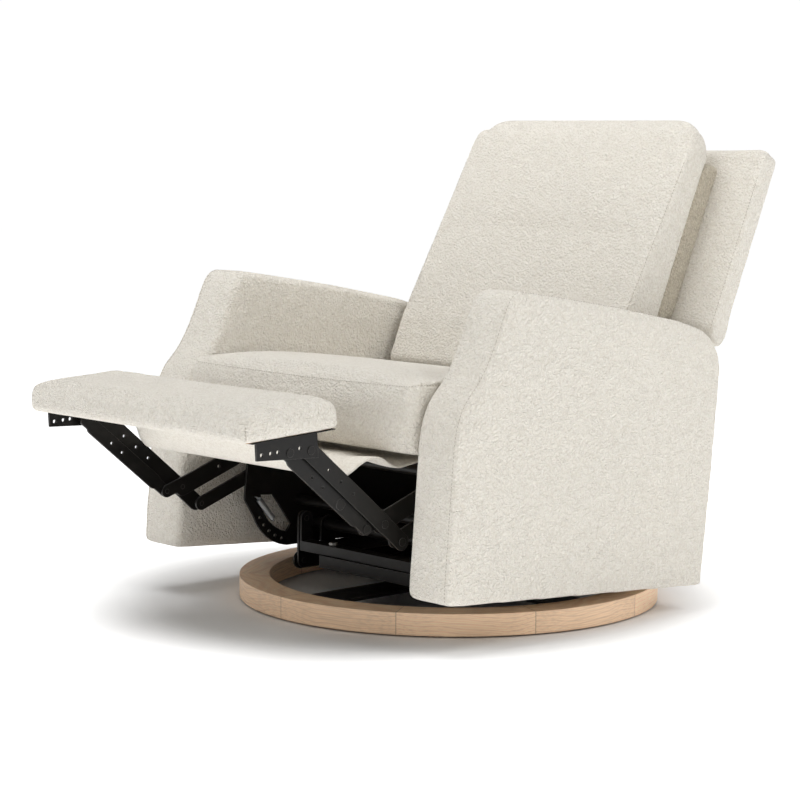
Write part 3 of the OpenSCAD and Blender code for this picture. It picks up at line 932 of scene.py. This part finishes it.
def make_seat(finishes):
    """Box seat cushion with a crowned top panel."""
    radius = 26.0
    bend_x, bend_y = SEAT_HALF - radius, SEAT_FRONT + radius
    obj = slab("seat_cover", seat_outline(), -SEAT_HALF, SEAT_HALF, 7.0, 7.0)
    remeshed(obj)
    for side in (-1, 1):
        corner = np.array([side * bend_x, bend_y, 0])
        rounded_corner(obj, corner, (side, 0, 0), (0, -1, 0), radius)
    bend = arc((bend_x, bend_y), radius - 1.5, -90, 0)
    half = [[0, SEAT_FRONT + 1.5]] + list(bend) + [[SEAT_HALF - 1, y] for y in (-300, 80)]
    seams = [line_points([[side * x, y, SEAM_Z] for x, y in half]) for side in (-1, 1)]
    stuffed(obj, seams, (1.5, 6.0, 7.0), lambda p: p[:, 2] < 294)
    subdivided(obj)
    sewn(obj, seams)
    soft_piece(obj, finishes, "chair", "seat_cushion")
    return obj, seams


def shell_directions():
    """Unit vectors up the shell's front face and out of it, in the leaning frame."""
    up = (SHELL_TOP - SHELL_FOOT) / np.linalg.norm(SHELL_TOP - SHELL_FOOT)
    return np.array([0, up[0], up[1]]), np.array([0, up[1], -up[0]])


def round_top(obj, outline, half, radius):
    """Rounds both top corners of a slab that stands along the back's slope."""
    up, _ = shell_directions()
    reach = (outline @ up[1:]).max() - radius
    for side in (-1, 1):
        centre = np.array([side * (half - radius), 0, 0]) + reach * up
        rounded_corner(obj, centre, (side, 0, 0), up, radius)


def make_shell(finishes):
    """Outer back slab with rounded top corners and a seam down each side strip."""
    outline = shell_outline()
    obj = slab("shell_cover", outline, -SHELL_HALF, SHELL_HALF, 3.5, 3.5)
    remeshed(obj)
    round_top(obj, outline, SHELL_HALF, 30.0)
    front = line_points(at_x([SHELL_FOOT, SHELL_TOP - (6, 16)], SHELL_HALF - 2.5))
    seams = [front, front * (-1, 1, 1)]
    rim = inset(resampled(outline), 1.5)
    rims = [line_points(at_x(rim, side * (SHELL_HALF - 1.5))) for side in (-1, 1)]
    stuffed(obj, rims, (2.0, 3.0, 3.0))
    subdivided(obj)
    sewn(obj, seams, width=5.0, depth=1.2)
    soft_piece(obj, finishes, "back", "back_shell")
    return obj, seams


def make_inner_back(finishes):
    """Padded block that the back cushion leans on, in front of the shell."""
    outline = block_outline()
    obj = slab("inner_back_cover", outline, -BLOCK_HALF, BLOCK_HALF, 9.0, 9.0)
    remeshed(obj)
    round_top(obj, outline, BLOCK_HALF, 17.0)
    subdivided(obj)
    soft_piece(obj, finishes, "back", "back_shell")
    # Painted shade: the block takes a darker copy of the bouclé, standing for the shade in
    # the recess between the back cushion and the shell.
    painted(obj, finishes, "boucle_tan")


def make_back_cushion(finishes):
    """Inner back cushion: crowned front panel between stitched box sides."""
    outline = back_cushion_outline()
    half = BACK_CUSHION_HALF
    obj = slab("back_cushion_cover", outline, -half, half, 3.5, 3.5)
    remeshed(obj)
    round_top(obj, outline, half, 70.0)
    front = np.vstack([[[104, 430]], back_cushion_front()])
    seams = [line_points(at_x(front, side * (half - 1.5))) for side in (-1, 1)]
    up, ahead = shell_directions()
    crown = (outline @ up[1:]).max() - 5.0
    rear = (outline @ ahead[1:]).min() + 18.0

    def held(p):
        """The foot, the rear face that rests on the back, and the crown's ridge."""
        return (p[:, 2] < 400) | (p @ up > crown) | (p @ ahead < rear)

    stuffed(obj, seams, (2.0, 9.0, 2.5), held)
    subdivided(obj)
    sewn(obj, seams, width=6.0, depth=1.8)
    soft_piece(obj, finishes, "back", "back_cushion")
    return obj, seams


def make_rear_panel(finishes):
    """Upholstered panel that closes the seat behind, between the arms."""
    outline = rear_panel_outline()
    obj = slab("rear_panel_cover", outline, 1.0 - ARM_IN, ARM_IN - 1.0, 5.0, 5.0)
    remeshed(obj)
    subdivided(obj)
    soft_piece(obj, finishes, "chair", "rear_panel")


def make_pad(finishes):
    """Footrest pad: soft top edges, a seam down each front corner."""
    obj = slab("footrest_cover", pad_outline(), -PAD_HALF, PAD_HALF, 12.0, 12.0)
    remeshed(obj, PAD_VOXEL)
    radius = 19.0
    for side in (-1, 1):
        y, z = on_footrest(FOOT_LEN - radius, -20.0)
        ahead = (0, -math.cos(FOOT_SLOPE), -math.sin(FOOT_SLOPE))
        centre = np.array([side * (PAD_HALF - radius), y, z])
        rounded_corner(obj, centre, (side, 0, 0), ahead, radius)
    seams = []
    for side in (-1, 1):
        low = on_footrest(FOOT_LEN - 7.0, -FOOT_THICK + 4)
        high = on_footrest(FOOT_LEN - 8.0, -12.0)
        x = side * (PAD_HALF - 7.0)
        seams.append(line_points([[x, *low], [x, *high]]))
    under = -FOOT_THICK + 8
    normal = np.array([-math.sin(FOOT_SLOPE), math.cos(FOOT_SLOPE)])
    stuffed(
        obj,
        seams,
        (2.0, 4.0, 7.0),
        lambda p: (p[:, 1:] - FOOT_BACK) @ normal < under,
    )
    subdivided(obj)
    sewn(obj, seams, width=5.0, depth=1.6)
    soft_piece(obj, finishes, "footrest", "footrest_pad")
    return obj, seams


# ---------------------------------------------------------------- sheets


def even_profile(profile, rows=40):
    """A softened [y, z] profile as evenly spaced rows, and its length."""
    profile = np.asarray(profile, float)
    run = np.linalg.norm(np.diff(profile, axis=0), axis=1)
    s = np.concatenate([[0], np.cumsum(run)])
    at = np.linspace(0, s[-1], rows)
    line = np.column_stack([np.interp(at, s, profile[:, k]) for k in (0, 1)])
    for _ in range(6):
        line[1:-1] = (line[:-2] + 2 * line[1:-1] + line[2:]) / 4
    return line, s[-1]


def sheet_mesh(name, middle, edge, half_width, thick, wave, columns=72):
    """A thin cloth across the chair, with one [y, z] profile in its middle and another
    at its free edges. wave(x, share) gives how far (mm) each row is moved."""
    (inner, length), (outer, _) = even_profile(middle), even_profile(edge)
    rows = len(inner)
    share = np.linspace(0, 1, rows)
    grid = np.zeros((columns, rows, 3))
    for i, x in enumerate(np.linspace(-half_width, half_width, columns)):
        t = np.clip((abs(x) - FOLD_START) / FOLD_RUN, 0, 1)
        blend = t * t * (3 - 2 * t)
        grid[i, :, 0] = x
        grid[i, :, 1:] = inner + blend * (outer - inner) + wave(x, share)
    along = np.gradient(grid, axis=1)
    across = np.gradient(grid, axis=0)
    normal = np.cross(across, along)
    normal /= np.linalg.norm(normal, axis=2)[:, :, None]
    both = np.stack([grid + normal * thick / 2, grid - normal * thick / 2])
    count = columns * rows
    faces = []
    for i in range(columns - 1):
        for j in range(rows - 1):
            a, b = i * rows + j, (i + 1) * rows + j
            faces.append([a, b, b + 1, a + 1])
            faces.append([count + a, count + a + 1, count + b + 1, count + b])
    rim = [i * rows for i in range(columns)]
    rim += [(columns - 1) * rows + j for j in range(1, rows)]
    rim += [i * rows + rows - 1 for i in range(columns - 2, -1, -1)]
    rim += list(range(rows - 2, 0, -1))
    for a, b in zip(rim, rim[1:] + rim[:1]):
        faces.append([a, b, count + b, count + a])
    return new_object(name, leaned(both.reshape(-1, 3)), faces), length


def apron_wave(x, share):
    """Small folds of the hung cloth, larger towards its free edges."""
    edge = np.clip((abs(x) - 90) / 160, 0, 1)
    swell = np.sin(math.pi * share) ** 2
    fold = np.sin(x / 27.0 + 7.0 * share) * (0.8 + 1.6 * edge) * swell
    return np.column_stack([0.5 * fold, fold])


def make_apron(finishes):
    """The fabric that bridges footrest and seat, in two panels."""
    for name, middle, edge, bodies, turn, node in (
        (
            "apron_rear_cloth",
            APRON_REAR_MIDDLE,
            APRON_REAR_EDGE,
            ("chair", "apron_back_panel"),
            APRON_HINGE,
            "apron_rear",
        ),
        (
            "apron_front_cloth",
            APRON_FRONT_MIDDLE,
            APRON_FRONT_EDGE,
            ("apron_back_panel", "apron_front_panel"),
            APRON_FRONT_MIDDLE[:3:2],
            "apron_front",
        ),
    ):
        obj, length = sheet_mesh(name, middle, edge, APRON_HALF, 2.6, apron_wave)
        painted(obj, finishes, "boucle_sheet")
        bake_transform(obj)
        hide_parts(node)


def stretched_cloth(name, ends, half, finish, body, finishes):
    """A flat cloth stapled on a board, between two [y, z] lines across the chair."""
    obj, length = sheet_mesh(
        name,
        ends,
        ends,
        half,
        1.2,
        lambda x, share: np.column_stack([0 * share, 0.3 * np.sin(x / 14 + 9 * share)]),
    )
    painted(obj, finishes, finish)
    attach(obj, body)


def make_lining(finishes):
    """Black cloth under the footrest's board, and the deck behind the seat cushion."""
    behind = on_footrest(6.0, -FOOT_THICK - 1.2)
    ahead = on_footrest(FOOT_LEN - 20.0, -FOOT_THICK - 1.2)
    stretched_cloth(
        "footrest_dust_cloth",
        [behind, ahead],
        PAD_HALF - 7.0,
        "dust_cloth",
        "footrest",
        finishes,
    )
    stretched_cloth(
        "seat_deck_cloth",
        [(95.0, 289.5), (203.0, 289.5)],
        DECK_HALF,
        "boucle_sheet",
        "chair",
        finishes,
    )


# ---------------------------------------------------------------- small hardware


def tube(name, path, radius, sides=8):
    """A round wire along a dense 3-D path in millimetres of the leaning frame."""
    path = np.asarray(path, float)
    along = np.gradient(path, axis=0)
    along /= np.linalg.norm(along, axis=1)[:, None]
    verts, faces = [], []
    guide = np.array([0.137, 0.31, 0.94])
    for p, d in zip(path, along):
        side = np.cross(d, guide)
        side /= np.linalg.norm(side)
        up = np.cross(side, d)
        for k in range(sides):
            a = 2 * math.pi * k / sides
            verts.append(p + radius * (math.cos(a) * side + math.sin(a) * up))
    for i in range(len(path) - 1):
        for k in range(sides):
            j = (k + 1) % sides
            a, b = i * sides, (i + 1) * sides
            faces.append([a + k, a + j, b + j, b + k])
    faces.append(list(range(sides)))
    faces.append([(len(path) - 1) * sides + k for k in range(sides)])
    return new_object(name, leaned(verts), faces)


def make_return_springs(finishes):
    """Close-wound tension springs with a hook at each end."""
    top, low = np.array([-241.0, 157.0]), np.array([-197.0, 112.0])
    length = np.linalg.norm(low - top)
    axis = np.array([0, *(low - top) / length])
    out = np.array([0, -axis[2], axis[1]])
    coil_r, wire_r, pitch, hook = 4.8, 1.15, 2.45, 6.0
    turns = int((length - 2 * hook) / pitch)
    for side, name in ((1, "left"), (-1, "right")):
        start = np.array([side * SPRING_X, *top])
        across = np.array([float(side), 0, 0])
        t = np.linspace(0, turns, turns * 14)
        coil = (
            start
            + np.outer(hook + t * pitch, axis)
            + coil_r * np.outer(np.cos(2 * math.pi * t), across)
            + coil_r * np.outer(np.sin(2 * math.pi * t), out)
        )
        first = start + across * 7.0
        last = start + axis * length + across * 7.0
        path = np.vstack(
            [
                line_points([first, start + axis * 1.0, coil[0]], 1.5),
                coil,
                line_points([coil[-1], start + axis * (length - 1.0), last], 1.5),
            ]
        )
        obj = tube(f"return_spring_{name}", path, wire_r)
        painted(obj, finishes, "spring_steel")
        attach(obj, "chair")
        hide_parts("return_springs")


def make_threads(finishes, covers):
    """Stitches along the seams of each body's covers."""
    for body, pieces in covers.items():
        obj = stitches(f"{body}_stitches", pieces)
        # Painted shade: the dark thread also stands for the shade along the seam lines.
        painted(obj, finishes, "thread")
        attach(obj, body)


# ---------------------------------------------------------------- stage


def make_floor():
    """A pale floor with a painted glow that makes it plain white away from the chair; the
    glow dies out near the chair and leaves a painted shadow there.
    """
    size = 14.0
    corners = [(-size, -size, 0), (size, -size, 0), (size, size, 0), (-size, size, 0)]
    floor = new_object("floor", corners, [[0, 1, 2, 3]])
    material, tree, principled, place = shader("pale_floor")
    shifted = vector(tree, "SUBTRACT", place, SHADOW_CENTRE).outputs[0]
    away = vector(tree, "LENGTH", shifted).outputs["Value"]
    # Painted light: emission that grows with distance from SHADOW_CENTRE, so the floor glows
    # white far off and stays shaded near the chair.
    painted_glow = add(
        tree,
        "MapRange",
        {"interpolation_type": "SMOOTHSTEP"},
        Value=away,
        From_Min=0.42,
        From_Max=0.68,
        To_Min=0.0,
        To_Max=0.82,
    ).outputs["Result"]
    link(
        tree,
        principled,
        Base_Color=grey(0.84),
        Roughness=0.9,
        Specular_IOR_Level=0.1,
        Emission_Color=grey(1.0),
        Emission_Strength=painted_glow,
    )
    floor.data.materials.append(material)


def make_world():
    """A soft surround with a white horizon and a tall white backdrop behind the chair."""
    world = bpy.data.worlds.new("studio")
    world.use_nodes = True
    tree = world.node_tree
    direction = add(tree, "TexCoord").outputs["Generated"]
    height = add(tree, "SeparateXYZ", Vector=direction).outputs["Z"]
    height = calc(tree, "ABSOLUTE", height)
    low, horizon = (
        add(
            tree,
            "MapRange",
            {"interpolation_type": "SMOOTHSTEP"},
            Value=height,
            From_Min=start,
            From_Max=end,
            To_Min=1.0,
            To_Max=0.0,
        ).outputs["Result"]
        for start, end in ((0.12, 0.45), (0.10, 0.22))
    )
    behind = vector(tree, "DOT_PRODUCT", direction, BACKDROP).outputs["Value"]
    behind = add(
        tree,
        "MapRange",
        {"interpolation_type": "SMOOTHSTEP"},
        Value=behind,
        From_Min=0.55,
        From_Max=0.85,
        To_Min=0.0,
        To_Max=0.82,
    ).outputs["Result"]
    background = tree.nodes["Background"]
    background.inputs["Color"].default_value = grey(1.0)
    backdrop = calc(tree, "MULTIPLY", low, behind)
    white = calc(tree, "MAXIMUM", backdrop, calc(tree, "MULTIPLY", horizon, 0.8))
    level = calc(tree, "ADD", white, 0.2)
    tree.links.new(level, background.inputs["Strength"])
    bpy.context.scene.world = world


def area_light(name, place, aim, size, power):
    """A rectangular softbox (size in metres, power in watts) turned towards aim."""
    light = bpy.data.lights.new(name, "AREA")
    light.shape = "RECTANGLE"
    light.size, light.size_y = size
    light.energy = power
    obj = bpy.data.objects.new(name, light)
    obj.location = place
    away = Vector(place) - Vector(aim)
    obj.rotation_euler = away.to_track_quat("Z", "Y").to_euler()
    bpy.context.scene.collection.objects.link(obj)


def make_lights():
    """A softbox up on the right, a top light and a weak high fill from the front."""
    area_light("key", (2.6, 0.6, 2.9), (0, 0, 0.4), (1.8, 1.8), 40)
    area_light("top", (-0.3, -0.6, 3.2), (0, 0, 0.3), (2.2, 2.2), 60)
    area_light("fill", (0.2, -3.2, 2.7), (0, 0, 0.6), (1.6, 1.6), 14)


def make_camera():
    """The camera at its fitted place, turned by yaw and pitch, then rolled."""
    camera = bpy.data.cameras.new("camera")
    camera.lens = CAMERA_LENS
    camera.sensor_width = 36.0
    obj = bpy.data.objects.new("camera", camera)
    yaw, pitch = math.radians(CAMERA_YAW), math.radians(CAMERA_PITCH)
    back = Vector(
        (
            math.sin(yaw) * math.cos(pitch),
            -math.cos(yaw) * math.cos(pitch),
            math.sin(pitch),
        )
    )
    level = back.to_track_quat("Z", "Y").to_matrix().to_4x4()
    roll = Matrix.Rotation(math.radians(CAMERA_ROLL), 4, "Z")
    obj.matrix_world = Matrix.Translation(CAMERA_PLACE) @ level @ roll
    bpy.context.scene.collection.objects.link(obj)
    bpy.context.scene.camera = obj


def main():
    """Builds the stage, the finishes and every soft piece."""
    scene = bpy.context.scene
    scene.view_settings.view_transform = "Standard"
    make_camera()
    make_world()
    make_lights()
    make_floor()
    finishes = materials()
    paint_cad_nodes(finishes)
    covers = {
        "chair": [make_arm(side, finishes) for side in (1, -1)] + [make_seat(finishes)],
        "back": [make_shell(finishes), make_back_cushion(finishes)],
        "footrest": [make_pad(finishes)],
    }
    make_inner_back(finishes)
    make_rear_panel(finishes)
    make_apron(finishes)
    make_lining(finishes)
    make_return_springs(finishes)
    make_threads(finishes, covers)


main()
